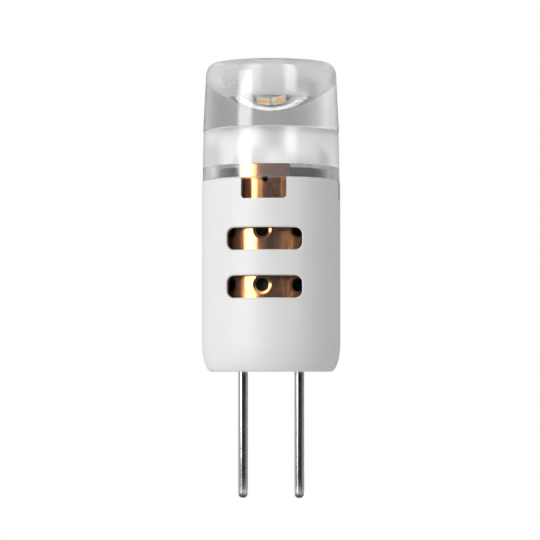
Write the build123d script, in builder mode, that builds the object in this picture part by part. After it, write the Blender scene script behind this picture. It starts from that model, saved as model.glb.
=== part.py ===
"""LED capsule bulb with a two-pin base: a clear lens and collar on a vented white housing.

The origin is on the bulb's axis, on the flat under the housing that meets the lampholder. +Z runs up
the axis to the lens, the pins stand on X and point down, and the vent slots face -Y and +Y.
All sizes are in millimetres.
"""

import os
from math import radians, sqrt, tan

from build123d import *

# Two-pin base
PIN_PITCH = 4.0
PIN_DIAMETER = 0.7
PIN_LENGTH = 8.9
PIN_TIP_RADIUS = 0.3
PIN_SHANK_DIAMETER = 1.1
PIN_REACH_INSIDE = 2.8
PIN_FIT = 0.02

# Housing, one moulding open at the top
HOUSING_DIAMETER = 9.8
HOUSING_HEIGHT = 13.5
HOUSING_WALL = 0.9
HOUSING_FLOOR = 1.6
FOOT_ROLL_WIDTH = 0.7
FOOT_ROLL_HEIGHT = 2.0
RIM_RADIUS = 0.2
SLOT_WIDTH = 5.25
SLOT_HEIGHT = 1.55
SLOT_CORNER = 0.5
SLOT_EDGE = 0.08
LOWER_SLOT_Z = 5.89
SLOT_PITCH = 3.33
VENT_NOTCH_WIDTH = 3.17
NOTCH_DEPTH = 1.5
NOTCH_CORNER = 0.25
KEY_NOTCH_WIDTH = 1.4
RIB_WIDTH = 0.6
RIB_ANGLE = 33.0
RIB_HEIGHT = 9.0
RIB_CLEARANCE = 0.05

# Heat-sink sleeve, perforated sheet
SLEEVE_GAP = 0.2
SLEEVE_SHEET = 0.25
SLEEVE_BELOW_RIM = 0.1
SLEEVE_HOLE_DIAMETER = 0.92
SLEEVE_RIM_WIDTH = 0.2
SLEEVE_RIM_DEPTH = 0.08
SLEEVE_HOLE_COLUMNS = 9
SLEEVE_HOLE_CLOCKING = -3.2
LOWER_HOLE_Z = 6.04
HOLE_PITCH = 3.82
TAB_WIDTH = 3.3
TAB_ABOVE_BOARD = 0.3
TAB_CORNER = 0.2
TAB_PILOT_DIAMETER = 0.4
TAB_CLEARANCE = 0.05

# LED board and its two packages
LED_BOARD_GAP = 0.15
LED_BOARD_THICKNESS = 0.8
PACKAGE_WIDTH = 2.3
PACKAGE_LENGTH = 2.8
PACKAGE_HEIGHT = 0.75
PACKAGE_GAP = 0.15
PACKAGE_DRAFT = 5.0
PHOSPHOR_DIAMETER = 1.8
PHOSPHOR_DEPTH = 0.3

# Clear collar and lens
COLLAR_SETBACK = 0.05
COLLAR_HEIGHT = 3.5
COLLAR_DRAFT = 1.0
COLLAR_WALL = 0.9
KEY_CLEARANCE = 0.03
LENS_OVERHANG = 0.03
LENS_HEIGHT = 4.8
LENS_DRAFT = 2.86
LENS_SHOULDER_WIDTH = 0.575
LENS_SHOULDER_HEIGHT = 0.9
LENS_LIP_FLAT = 0.05
LENS_LIP_EDGE = 0.02
BOWL_DEPTH = 3.47
SPIGOT_DEPTH = 0.6
SPIGOT_CLEARANCE = 0.03
JOINT_EDGE = 0.05

# Driver board and what is soldered to it
DRIVER_CLEARANCE = 0.32
DRIVER_THICKNESS = 0.8
COMPONENT_GAP = 0.25
LEAD_ROOM = 1.4
LEAD_DIAMETER = 0.4
LEAD_SPREAD = 2.4
LEAD_TO_TAB = 0.55
LEAD_BEND = 0.45
LEAD_OVERLAP = 0.8
LEAD_ABOVE_BOARD = 0.25
LEAD_FIT = 0.03
INDUCTOR_DIAMETER = 3.0
INDUCTOR_FLANGE = 0.4
INDUCTOR_CORE = 1.3
INDUCTOR_COIL = 2.6
CAPACITOR_LENGTH = 3.2
CAPACITOR_WIDTH = 1.6
CAPACITOR_HEIGHT = 1.2
RESISTOR_LENGTH = 1.6
RESISTOR_WIDTH = 0.8
RESISTOR_HEIGHT = 0.45
END_CAP_LENGTH = 0.35
END_CAP_PROUD = 0.04
DIODE_LENGTH = 1.7
DIODE_WIDTH = 1.25
DIODE_HEIGHT = 0.95
DIODE_LEAD_LENGTH = 0.3
DIODE_LEAD_WIDTH = 0.5
CHIP_LENGTH = 2.9
CHIP_WIDTH = 1.6
CHIP_HEIGHT = 1.1
CHIP_SPAN = 2.8
CHIP_LEAD_PITCH = 0.95
CHIP_LEAD_WIDTH = 0.4
CHIP_LEADS_PER_SIDE = 3
LEAD_SHEET = 0.15
MOULD_DRAFT = 6.0

# Heights and radii that follow from the sizes above
housing_radius = HOUSING_DIAMETER / 2
bore_radius = housing_radius - HOUSING_WALL
foot_radius = housing_radius - FOOT_ROLL_WIDTH
rim_z = HOUSING_HEIGHT
sleeve_radius = bore_radius - SLEEVE_GAP
sleeve_bore = sleeve_radius - SLEEVE_SHEET
sleeve_top_z = rim_z - SLEEVE_BELOW_RIM
board_top_z = sleeve_top_z + LED_BOARD_THICKNESS
pin_top_z = HOUSING_FLOOR + PIN_REACH_INSIDE
collar_top_z = rim_z + COLLAR_HEIGHT
lens_top_z = collar_top_z + LENS_HEIGHT
collar_foot = housing_radius - COLLAR_SETBACK
collar_top = collar_foot - COLLAR_HEIGHT * tan(radians(COLLAR_DRAFT))
collar_bore = collar_foot - COLLAR_WALL
led_board_radius = collar_bore - LED_BOARD_GAP
tab_slot_inner = sqrt(sleeve_bore**2 - (TAB_WIDTH / 2) ** 2) - TAB_CLEARANCE
package_centre = (PACKAGE_WIDTH + PACKAGE_GAP) / 2
driver_top_z = sleeve_top_z - LEAD_ROOM
driver_face = DRIVER_THICKNESS / 2
driver_room = sleeve_bore - DRIVER_CLEARANCE
driver_width = 2 * sqrt(driver_room**2 - driver_face**2)
lead_x = LEAD_SPREAD / 2
lead_y = tab_slot_inner - LEAD_TO_TAB
lead_foot_z = driver_top_z - LEAD_OVERLAP

driver_front = Plane((0, -driver_face, 0), x_dir=(1, 0, 0), z_dir=(0, -1, 0))
driver_back = Plane((0, driver_face, 0), x_dir=(-1, 0, 0), z_dir=(0, 1, 0))

seated = (Align.CENTER, Align.CENTER, Align.MIN)

os.makedirs("parts", exist_ok=True)


def save(piece, name):
    """Label a finished piece and write it as its own STEP file."""
    piece.label = name
    export_step(piece, f"parts/{name}.step")


# Housing: a revolved cup with an elliptical roll at its foot, then its ribs, slots, notches and pin holes
with BuildPart() as housing:
    with BuildSketch(Plane.XZ):
        with BuildLine():
            Line((0, 0), (foot_radius, 0))
            EllipticalCenterArc(
                (foot_radius, FOOT_ROLL_HEIGHT),
                FOOT_ROLL_WIDTH,
                FOOT_ROLL_HEIGHT,
                start_angle=270,
                arc_size=90,
            )
            Polyline(
                (housing_radius, FOOT_ROLL_HEIGHT),
                (housing_radius, rim_z),
                (bore_radius, rim_z),
                (bore_radius, HOUSING_FLOOR),
                (0, HOUSING_FLOOR),
                (0, 0),
            )
        make_face()
    revolve(axis=Axis.Z)
    rim_edges = housing.edges().filter_by(GeomType.CIRCLE).group_by(Axis.Z)[-1]
    fillet(rim_edges.sort_by(SortBy.RADIUS)[-1], radius=RIM_RADIUS)

    # Four upright ribs centre the sleeve and leave an air gap round it
    rib_inner = sleeve_radius + RIB_CLEARANCE
    rib_outer = bore_radius + HOUSING_WALL / 2
    with BuildSketch(Plane.XY.offset(HOUSING_FLOOR)):
        for rib_angle in (RIB_ANGLE, -RIB_ANGLE):
            with PolarLocations((rib_inner + rib_outer) / 2, 2, start_angle=rib_angle):
                Rectangle(rib_outer - rib_inner, RIB_WIDTH)
    extrude(amount=RIB_HEIGHT)

    # Two rows of vent slots and a vent notch in the rim, cut through front and back
    with BuildSketch(Plane.XZ):
        with Locations((0, LOWER_SLOT_Z), (0, LOWER_SLOT_Z + SLOT_PITCH)):
            RectangleRounded(SLOT_WIDTH, SLOT_HEIGHT, SLOT_CORNER)
        with Locations((0, rim_z)):
            RectangleRounded(VENT_NOTCH_WIDTH, 2 * NOTCH_DEPTH, NOTCH_CORNER)
    extrude(amount=HOUSING_DIAMETER, both=True, mode=Mode.SUBTRACT)

    # Narrow notches at the sides take the collar's keys
    with BuildSketch(Plane.YZ):
        with Locations((0, rim_z)):
            RectangleRounded(KEY_NOTCH_WIDTH, 2 * NOTCH_DEPTH, NOTCH_CORNER)
    extrude(amount=HOUSING_DIAMETER, both=True, mode=Mode.SUBTRACT)

    outer_wall = housing.faces().filter_by(GeomType.CYLINDER).sort_by(SortBy.AREA)[-1]
    slot_edges = [edge for loop in outer_wall.inner_wires() for edge in loop.edges()]
    chamfer(slot_edges, length=SLOT_EDGE)

    with Locations((0, 0, HOUSING_FLOOR)):
        with GridLocations(PIN_PITCH, 0, 2, 1):
            Hole(PIN_SHANK_DIAMETER / 2 + PIN_FIT, depth=HOUSING_FLOOR)
save(housing.part, "housing")

# Contact pins: turned with a rounded tip and a thicker shank in the floor, and run up into the driver board
for side, pin_x in (("left", -PIN_PITCH / 2), ("right", PIN_PITCH / 2)):
    with BuildPart(Plane((pin_x, 0, -PIN_LENGTH))) as contact_pin:
        Cylinder(PIN_DIAMETER / 2, PIN_LENGTH + pin_top_z, align=seated)
        fillet(contact_pin.edges().group_by(Axis.Z)[0], radius=PIN_TIP_RADIUS)
        with Locations((0, 0, PIN_LENGTH)):
            Cylinder(PIN_SHANK_DIAMETER / 2, HOUSING_FLOOR, align=seated)
    save(contact_pin.part, f"contact_pin_{side}")

# Heat-sink sleeve: a perforated tube with two tabs that rise through the LED board's edge
with BuildPart() as heat_sink_sleeve:
    with BuildSketch(Plane.XY.offset(HOUSING_FLOOR)):
        Circle(sleeve_radius)
        Circle(sleeve_bore, mode=Mode.SUBTRACT)
    extrude(amount=sleeve_top_z - HOUSING_FLOOR)
    tab_height = LED_BOARD_THICKNESS + TAB_ABOVE_BOARD
    with BuildSketch(Plane.XY.offset(sleeve_top_z)):
        Circle(sleeve_radius)
        Circle(sleeve_bore, mode=Mode.SUBTRACT)
        Rectangle(TAB_WIDTH, 2 * sleeve_radius, mode=Mode.INTERSECT)
    extrude(amount=tab_height)
    tab_corners = heat_sink_sleeve.edges().filter_by(Axis.Y).group_by(Axis.Z)[-1]
    fillet(tab_corners, radius=TAB_CORNER)
    with Locations((0, 0, LOWER_HOLE_Z), (0, 0, LOWER_HOLE_Z + HOLE_PITCH)):
        with PolarLocations(sleeve_radius, SLEEVE_HOLE_COLUMNS, start_angle=SLEEVE_HOLE_CLOCKING - 90):
            Cylinder(SLEEVE_HOLE_DIAMETER / 2, 4 * SLEEVE_SHEET, rotation=(0, 90, 0), mode=Mode.SUBTRACT)
    sleeve_wall = heat_sink_sleeve.faces().filter_by(GeomType.CYLINDER).sort_by(SortBy.AREA)[-1]
    hole_edges = [edge for loop in sleeve_wall.inner_wires() for edge in loop.edges()]
    chamfer(hole_edges, length=SLEEVE_RIM_WIDTH, length2=SLEEVE_RIM_DEPTH, reference=sleeve_wall)
    with BuildSketch(Plane.XZ):
        with Locations((0, sleeve_top_z)):
            Circle(TAB_PILOT_DIAMETER / 2)
    extrude(amount=2 * sleeve_radius, both=True, mode=Mode.SUBTRACT)
save(heat_sink_sleeve.part, "heat_sink_sleeve")

# LED board: a metal-core disc on the sleeve's edge, let in for the tabs and drilled for the two leads
with BuildPart() as led_board:
    with BuildSketch(Plane.XY.offset(sleeve_top_z)):
        Circle(led_board_radius)
        tab_slot_depth = led_board_radius - tab_slot_inner
        with GridLocations(0, 2 * tab_slot_inner + tab_slot_depth, 1, 2):
            Rectangle(TAB_WIDTH + 2 * TAB_CLEARANCE, tab_slot_depth, mode=Mode.SUBTRACT)
        with Locations((-lead_x, -lead_y), (lead_x, lead_y)):
            Circle(LEAD_DIAMETER / 2 + LEAD_FIT, mode=Mode.SUBTRACT)
    extrude(amount=LED_BOARD_THICKNESS)
save(led_board.part, "led_board")

# LED packages: drafted white mouldings, each with a round cup that its phosphor fills
for side, package_x in (("left", -package_centre), ("right", package_centre)):
    with BuildPart() as led_package:
        with BuildSketch(Plane((package_x, 0, board_top_z))):
            Rectangle(PACKAGE_WIDTH, PACKAGE_LENGTH)
        extrude(amount=PACKAGE_HEIGHT, taper=PACKAGE_DRAFT)
        with BuildSketch(led_package.faces().sort_by(Axis.Z)[-1]):
            Circle(PHOSPHOR_DIAMETER / 2)
        extrude(amount=-PHOSPHOR_DEPTH, mode=Mode.SUBTRACT)
    save(led_package.part, f"led_package_{side}")

    with BuildPart(Plane((package_x, 0, board_top_z + PACKAGE_HEIGHT - PHOSPHOR_DEPTH))) as led_phosphor:
        Cylinder(PHOSPHOR_DIAMETER / 2, PHOSPHOR_DEPTH, align=seated)
    save(led_phosphor.part, f"led_phosphor_{side}")

# Lens collar: a clear drafted ring on the housing's rim, keyed into the side notches
with BuildPart() as lens_collar:
    with BuildSketch(Plane.XZ):
        Polygon(
            (collar_bore, rim_z),
            (collar_foot, rim_z),
            (collar_top, collar_top_z),
            (collar_bore, collar_top_z),
            align=None,
        )
    revolve(axis=Axis.Z)
    chamfer(lens_collar.edges().group_by(Axis.Z)[-1].sort_by(SortBy.RADIUS)[-1], length=JOINT_EDGE)
    with BuildSketch(Plane.XY.offset(rim_z)):
        Circle(collar_foot)
        Circle(bore_radius + KEY_CLEARANCE, mode=Mode.SUBTRACT)
        Rectangle(HOUSING_DIAMETER, KEY_NOTCH_WIDTH - 2 * KEY_CLEARANCE, mode=Mode.INTERSECT)
    extrude(amount=KEY_CLEARANCE - NOTCH_DEPTH)
    key_ends = lens_collar.faces().sort_by(Axis.Z)[:2]
    fillet(key_ends.edges().filter_by(Axis.X), radius=NOTCH_CORNER)
save(lens_collar.part, "lens_collar")

# Lens: a solid clear head with a parabolic bowl in its top and a spigot that drops into the collar
lens_foot = collar_top + LENS_OVERHANG
shoulder_z = lens_top_z - LENS_SHOULDER_HEIGHT
shoulder_radius = lens_foot - (shoulder_z - collar_top_z) * tan(radians(LENS_DRAFT))
lip_radius = shoulder_radius - LENS_SHOULDER_WIDTH
bowl_radius = lip_radius - LENS_LIP_FLAT
bowl_floor_z = lens_top_z - BOWL_DEPTH
spigot_radius = collar_bore - SPIGOT_CLEARANCE
spigot_foot_z = collar_top_z - SPIGOT_DEPTH
with BuildPart() as lens:
    with BuildSketch(Plane.XZ):
        with BuildLine():
            Polyline(
                (0, spigot_foot_z),
                (spigot_radius, spigot_foot_z),
                (spigot_radius, collar_top_z),
                (lens_foot, collar_top_z),
                (shoulder_radius, shoulder_z),
            )
            EllipticalCenterArc(
                (lip_radius, shoulder_z), LENS_SHOULDER_WIDTH, LENS_SHOULDER_HEIGHT, arc_size=90
            )
            Line((lip_radius, lens_top_z), (bowl_radius, lens_top_z))
            Bezier((bowl_radius, lens_top_z), (bowl_radius / 2, bowl_floor_z), (0, bowl_floor_z))
            Line((0, bowl_floor_z), (0, spigot_foot_z))
        make_face()
    revolve(axis=Axis.Z)
    joint_edges = lens.edges().filter_by_position(Axis.Z, collar_top_z, collar_top_z)
    chamfer(joint_edges.sort_by(SortBy.RADIUS)[-1], length=JOINT_EDGE)
    lip_edge = lens.edges().group_by(Axis.Z)[-1].sort_by(SortBy.RADIUS)[0]
    chamfer(lip_edge, length=LENS_LIP_EDGE)
save(lens.part, "lens")

# Driver board: stands on the floor between the pins, which sit in notches in its lower edge
with BuildPart() as driver_board:
    with BuildSketch(Plane.XZ):
        with Locations((0, HOUSING_FLOOR)):
            Rectangle(driver_width, driver_top_z - HOUSING_FLOOR, align=(Align.CENTER, Align.MIN))
            with GridLocations(PIN_PITCH, 0, 2, 1):
                Rectangle(PIN_DIAMETER + 2 * PIN_FIT, 2 * (PIN_REACH_INSIDE + PIN_FIT), mode=Mode.SUBTRACT)
    extrude(amount=driver_face, both=True)
save(driver_board.part, "driver_board")


def chip_component(seat, length, width, height):
    """A chip capacitor or resistor: a ceramic block between two metal end caps that stand a little proud."""
    with BuildPart(seat) as component:
        Box(length - 2 * END_CAP_LENGTH, width - 2 * END_CAP_PROUD, height - END_CAP_PROUD, align=seated)
        with GridLocations(length - END_CAP_LENGTH, 0, 2, 1):
            Box(END_CAP_LENGTH, width, height, align=seated)
    return component.part


def diode(seat):
    """A small moulded diode: a drafted body, longer than wide, with a flat lead at each end."""
    with BuildPart(seat) as component:
        with BuildSketch(seat):
            Rectangle(DIODE_LENGTH, DIODE_WIDTH)
        extrude(amount=DIODE_HEIGHT, taper=MOULD_DRAFT)
        with GridLocations(DIODE_LENGTH, 0, 2, 1):
            Box(2 * DIODE_LEAD_LENGTH, DIODE_LEAD_WIDTH, LEAD_SHEET, align=seated)
    return component.part


# Front of the board: a chip capacitor at each end, and the inductor midway between them
output_capacitor_z = HOUSING_FLOOR + COMPONENT_GAP + CAPACITOR_WIDTH / 2
input_capacitor_z = lead_foot_z - COMPONENT_GAP - CAPACITOR_WIDTH / 2
inductor_z = (output_capacitor_z + input_capacitor_z) / 2
for name, capacitor_z in (("output_capacitor", output_capacitor_z), ("input_capacitor", input_capacitor_z)):
    capacitor_seat = driver_front * Location((0, capacitor_z, 0))
    save(chip_component(capacitor_seat, CAPACITOR_LENGTH, CAPACITOR_WIDTH, CAPACITOR_HEIGHT), name)

# Inductor: a ferrite drum as tall as the sleeve leaves room for, with its winding between the flanges
inductor_height = sqrt(driver_room**2 - (INDUCTOR_DIAMETER / 2) ** 2) - driver_face
with BuildPart(driver_front * Location((0, inductor_z, 0))) as inductor_core:
    Cylinder(INDUCTOR_CORE / 2, inductor_height, align=seated)
    with Locations((0, 0, 0), (0, 0, inductor_height - INDUCTOR_FLANGE)):
        Cylinder(INDUCTOR_DIAMETER / 2, INDUCTOR_FLANGE, align=seated)
save(inductor_core.part, "inductor_core")

with BuildPart(driver_front * Location((0, inductor_z, INDUCTOR_FLANGE))) as inductor_coil:
    winding_height = inductor_height - 2 * INDUCTOR_FLANGE
    Cylinder(INDUCTOR_COIL / 2, winding_height, align=seated)
    Cylinder(INDUCTOR_CORE / 2, winding_height, align=seated, mode=Mode.SUBTRACT)
save(inductor_coil.part, "inductor_coil")

# Back of the board, from below: four rectifier diodes, the chip, then the freewheel diode and sense resistor
diode_span = DIODE_LENGTH + 2 * DIODE_LEAD_LENGTH
rectifier_top_z = HOUSING_FLOOR + 2 * (COMPONENT_GAP + DIODE_WIDTH)
converter_z = lead_foot_z - COMPONENT_GAP - DIODE_WIDTH / 2
chip_z = (rectifier_top_z + converter_z - DIODE_WIDTH / 2) / 2
with Locations(driver_back * Location((0, rectifier_top_z - DIODE_WIDTH - COMPONENT_GAP / 2, 0))):
    rectifier_grid = GridLocations(diode_span + COMPONENT_GAP, DIODE_WIDTH + COMPONENT_GAP, 2, 2)
    for number, place in enumerate(rectifier_grid, start=1):
        save(diode(Plane(place)), f"rectifier_diode_{number}")
freewheel_x = -(diode_span + COMPONENT_GAP) / 2
sense_x = (RESISTOR_LENGTH + COMPONENT_GAP) / 2
save(diode(driver_back * Location((freewheel_x, converter_z, 0))), "freewheel_diode")
sense_seat = driver_back * Location((sense_x, converter_z, 0))
save(chip_component(sense_seat, RESISTOR_LENGTH, RESISTOR_WIDTH, RESISTOR_HEIGHT), "sense_resistor")

# Driver chip: a drafted body with gull-wing leads along each long side
chip_seat = driver_back * Location((0, chip_z, 0))
with BuildPart(chip_seat) as driver_chip:
    with BuildSketch(Plane(chip_seat).offset(LEAD_SHEET)):
        Rectangle(CHIP_LENGTH, CHIP_WIDTH)
    extrude(amount=CHIP_HEIGHT - LEAD_SHEET, taper=MOULD_DRAFT)
    foot_length = (CHIP_SPAN - CHIP_WIDTH) / 2
    with GridLocations(CHIP_LEAD_PITCH, CHIP_SPAN - foot_length, CHIP_LEADS_PER_SIDE, 2):
        Box(CHIP_LEAD_WIDTH, foot_length, LEAD_SHEET, align=seated)
    with GridLocations(CHIP_LEAD_PITCH, CHIP_WIDTH, CHIP_LEADS_PER_SIDE, 2):
        Box(CHIP_LEAD_WIDTH, 2 * LEAD_SHEET, CHIP_HEIGHT / 2, align=seated)
save(driver_chip.part, "driver_chip")

# LED leads: bare wires soldered to the driver board's faces, cranked out and run up through the LED board
for side, way in (("left", -1), ("right", 1)):
    lead_foot_y = way * (driver_face + LEAD_DIAMETER / 2)
    crank_z = (driver_top_z + sleeve_top_z) / 2
    with BuildPart() as led_lead:
        with BuildLine() as lead_path:
            FilletPolyline(
                (way * lead_x, lead_foot_y, lead_foot_z),
                (way * lead_x, lead_foot_y, crank_z),
                (way * lead_x, way * lead_y, crank_z),
                (way * lead_x, way * lead_y, board_top_z + LEAD_ABOVE_BOARD),
                radius=LEAD_BEND,
            )
        with BuildSketch(Plane(lead_path.line @ 0, z_dir=lead_path.line % 0)):
            Circle(LEAD_DIAMETER / 2)
        sweep()
    save(led_lead.part, f"led_lead_{side}")
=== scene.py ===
from math import cos, pi, radians, sin, tan

import bmesh
import bpy
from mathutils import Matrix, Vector


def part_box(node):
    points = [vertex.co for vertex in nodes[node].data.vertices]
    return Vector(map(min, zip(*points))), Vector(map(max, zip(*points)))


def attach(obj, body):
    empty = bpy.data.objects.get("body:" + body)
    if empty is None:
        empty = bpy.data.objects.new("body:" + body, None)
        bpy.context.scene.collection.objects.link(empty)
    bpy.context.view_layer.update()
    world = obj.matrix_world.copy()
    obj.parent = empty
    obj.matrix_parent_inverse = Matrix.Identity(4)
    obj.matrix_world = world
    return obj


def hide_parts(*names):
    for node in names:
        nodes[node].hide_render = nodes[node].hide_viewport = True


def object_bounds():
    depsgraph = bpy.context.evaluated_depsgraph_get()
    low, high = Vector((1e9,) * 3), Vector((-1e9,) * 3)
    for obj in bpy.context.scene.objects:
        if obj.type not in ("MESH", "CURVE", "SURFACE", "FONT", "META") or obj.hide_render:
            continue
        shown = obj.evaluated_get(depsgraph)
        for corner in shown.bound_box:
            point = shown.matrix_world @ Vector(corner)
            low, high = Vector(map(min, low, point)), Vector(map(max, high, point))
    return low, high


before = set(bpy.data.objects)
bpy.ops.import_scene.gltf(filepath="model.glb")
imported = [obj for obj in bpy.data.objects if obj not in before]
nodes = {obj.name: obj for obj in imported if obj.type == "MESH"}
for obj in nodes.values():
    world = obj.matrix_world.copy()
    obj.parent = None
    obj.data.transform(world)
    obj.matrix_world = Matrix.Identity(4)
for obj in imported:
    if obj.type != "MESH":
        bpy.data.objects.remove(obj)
cad_box = [list(corner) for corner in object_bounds()]


# Contact pins
# Two round brass pins, drawn to size and nickel plated, pressed through the housing's floor.
# Drawing leaves faint lines along their length that the plating doesn't fill, and the rounded tips carry a
# painted dark shade.

mm = 0.001


def new_group(name, inputs, outputs):
    """An empty shader node group with its named sockets, and its input and output nodes."""
    group = bpy.data.node_groups.new(name, "ShaderNodeTree")
    for socket_name, kind, value in inputs:
        socket = group.interface.new_socket(socket_name, in_out="INPUT", socket_type=kind)
        socket.default_value = value
    for socket_name, kind in outputs:
        group.interface.new_socket(socket_name, in_out="OUTPUT", socket_type=kind)
    return group, group.nodes.new("NodeGroupInput"), group.nodes.new("NodeGroupOutput")


def product(tree_nodes, links, first, second):
    """Two values or masks multiplied."""
    both = tree_nodes.new("ShaderNodeMath")
    both.operation = "MULTIPLY"
    links.new(first, both.inputs[0])
    links.new(second, both.inputs[1])
    return both.outputs["Value"]


# Lines left by drawing or rolling, with patches where the metal has dulled
drawn_metal, group_in, group_out = new_group(
    "drawn metal",
    [
        ("Bright", "NodeSocketColor", (0.8, 0.8, 0.8, 1)),
        ("Dull", "NodeSocketColor", (0.5, 0.5, 0.5, 1)),
        ("Line Stretch", "NodeSocketVector", (1, 1, 0.02)),
        ("Lines per Metre", "NodeSocketFloat", 9000),
        ("Patches per Metre", "NodeSocketFloat", 900),
        ("Least Roughness", "NodeSocketFloat", 0.1),
        ("Most Roughness", "NodeSocketFloat", 0.25),
    ],
    [("Color", "NodeSocketColor"), ("Roughness", "NodeSocketFloat"), ("Height", "NodeSocketFloat")],
)
place = drawn_metal.nodes.new("ShaderNodeTexCoord")
stretch = drawn_metal.nodes.new("ShaderNodeVectorMath")
stretch.operation = "MULTIPLY"
line_noise = drawn_metal.nodes.new("ShaderNodeTexNoise")
line_noise.inputs["Detail"].default_value = 3
patch_noise = drawn_metal.nodes.new("ShaderNodeTexNoise")
patch_noise.inputs["Detail"].default_value = 4
patch_noise.inputs["Roughness"].default_value = 0.6
dulling = product(
    drawn_metal.nodes, drawn_metal.links, line_noise.outputs["Fac"], patch_noise.outputs["Fac"]
)
tone = drawn_metal.nodes.new("ShaderNodeMix")
tone.data_type = "RGBA"
gloss = drawn_metal.nodes.new("ShaderNodeMapRange")
gloss.inputs["From Min"].default_value = 0.1
gloss.inputs["From Max"].default_value = 0.45
for source, target in (
    (place.outputs["Object"], stretch.inputs[0]),
    (group_in.outputs["Line Stretch"], stretch.inputs[1]),
    (stretch.outputs["Vector"], line_noise.inputs["Vector"]),
    (group_in.outputs["Lines per Metre"], line_noise.inputs["Scale"]),
    (place.outputs["Object"], patch_noise.inputs["Vector"]),
    (group_in.outputs["Patches per Metre"], patch_noise.inputs["Scale"]),
    (dulling, tone.inputs["Factor"]),
    (group_in.outputs["Bright"], tone.inputs["A"]),
    (group_in.outputs["Dull"], tone.inputs["B"]),
    (dulling, gloss.inputs["Value"]),
    (group_in.outputs["Least Roughness"], gloss.inputs["To Min"]),
    (group_in.outputs["Most Roughness"], gloss.inputs["To Max"]),
    (tone.outputs["Result"], group_out.inputs["Color"]),
    (gloss.outputs["Result"], group_out.inputs["Roughness"]),
    (line_noise.outputs["Fac"], group_out.inputs["Height"]),
):
    drawn_metal.links.new(source, target)


def new_finish(name):
    """A new material with its Principled shader, and short names for its nodes and links."""
    finish = bpy.data.materials.new(name)
    finish.use_nodes = True
    tree = finish.node_tree
    return finish, tree.nodes, tree.links, tree.nodes["Principled BSDF"]


def place_group(tree_nodes, group, **values):
    """One use of a shared effect, with values of its own."""
    placed = tree_nodes.new("ShaderNodeGroup")
    placed.node_tree = group
    for socket_name, value in values.items():
        placed.inputs[socket_name.replace("_", " ")].default_value = value
    return placed


def place_axes(tree_nodes, links):
    """Where a point lies along the object's X, Y and Z."""
    place = tree_nodes.new("ShaderNodeTexCoord")
    axes = tree_nodes.new("ShaderNodeSeparateXYZ")
    links.new(place.outputs["Object"], axes.inputs["Vector"])
    return axes.outputs


def smooth_rise(tree_nodes, links, value, start, end, least=0.0, most=1.0):
    """A value that goes smoothly from least to most while another goes from start to end."""
    rise = tree_nodes.new("ShaderNodeMapRange")
    rise.interpolation_type = "SMOOTHSTEP"
    rise.inputs["From Min"].default_value = start
    rise.inputs["From Max"].default_value = end
    rise.inputs["To Min"].default_value = least
    rise.inputs["To Max"].default_value = most
    links.new(value, rise.inputs["Value"])
    return rise.outputs["Result"]


def tone_over(tree_nodes, links, mask, under, tone):
    """A colour with a plain tone laid over it where a mask says."""
    laid = tree_nodes.new("ShaderNodeMix")
    laid.data_type = "RGBA"
    laid.inputs["B"].default_value = tone
    links.new(mask, laid.inputs["Factor"])
    links.new(under, laid.inputs["A"])
    return laid.outputs["Result"]


def add_bump(tree_nodes, links, shader, height, distance, strength):
    """Let a height that changes over the surface tilt the shader's normal."""
    bump = tree_nodes.new("ShaderNodeBump")
    bump.inputs["Distance"].default_value = distance
    bump.inputs["Strength"].default_value = strength
    links.new(height, bump.inputs["Height"])
    links.new(bump.outputs["Normal"], shader.inputs["Normal"])


# Painted shade: the pins' rounded tips are painted dark grey, from just above the tip down to it
pin_tip_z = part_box("contact_pin_left")[0].z
bright_above = 0.5 * mm
painted_shade_below = 0.15 * mm
painted_tip_shade_tone = (0.09, 0.088, 0.085, 1)
nickel_plate, tree_nodes, links, shader = new_finish("nickel plate")
shader.inputs["Metallic"].default_value = 1.0
plated = place_group(
    tree_nodes,
    drawn_metal,
    Bright=(0.72, 0.71, 0.69, 1),
    Dull=(0.55, 0.54, 0.52, 1),
    Least_Roughness=0.1,
    Most_Roughness=0.22,
)
height = place_axes(tree_nodes, links)["Z"]
painted_tip_shade_mask = smooth_rise(tree_nodes, links, height, pin_tip_z + bright_above, pin_tip_z + painted_shade_below)
tip_shaded_colour = tone_over(tree_nodes, links, painted_tip_shade_mask, plated.outputs["Color"], painted_tip_shade_tone)
links.new(tip_shaded_colour, shader.inputs["Base Color"])
links.new(plated.outputs["Roughness"], shader.inputs["Roughness"])
add_bump(tree_nodes, links, shader, plated.outputs["Height"], distance=0.004 * mm, strength=0.4)
for side in ("left", "right"):
    nodes[f"contact_pin_{side}"].data.materials[0] = nickel_plate


# Housing
# One white moulding in a heat-resistant polymer, with vents and key notches. The spark-eroded mould gives its
# skin a fine even grain and a soft sheen. The walls of the vents and the housing's inside carry a painted
# grey shade.

moulded_skin, group_in, group_out = new_group(
    "moulded skin",
    [
        ("Polymer", "NodeSocketColor", (0.8, 0.8, 0.8, 1)),
        ("Flow Tint", "NodeSocketColor", (0.75, 0.75, 0.74, 1)),
        ("Grains per Metre", "NodeSocketFloat", 9000),
        ("Flow Marks per Metre", "NodeSocketFloat", 260),
        ("Least Roughness", "NodeSocketFloat", 0.4),
        ("Most Roughness", "NodeSocketFloat", 0.55),
    ],
    [("Color", "NodeSocketColor"), ("Roughness", "NodeSocketFloat"), ("Height", "NodeSocketFloat")],
)
place = moulded_skin.nodes.new("ShaderNodeTexCoord")
grain_noise = moulded_skin.nodes.new("ShaderNodeTexNoise")
grain_noise.inputs["Detail"].default_value = 3
flow_noise = moulded_skin.nodes.new("ShaderNodeTexNoise")
flow_noise.inputs["Detail"].default_value = 2
flow_tone = moulded_skin.nodes.new("ShaderNodeMix")
flow_tone.data_type = "RGBA"
sheen = moulded_skin.nodes.new("ShaderNodeMapRange")
sheen.inputs["From Min"].default_value = 0.3
sheen.inputs["From Max"].default_value = 0.7
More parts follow.
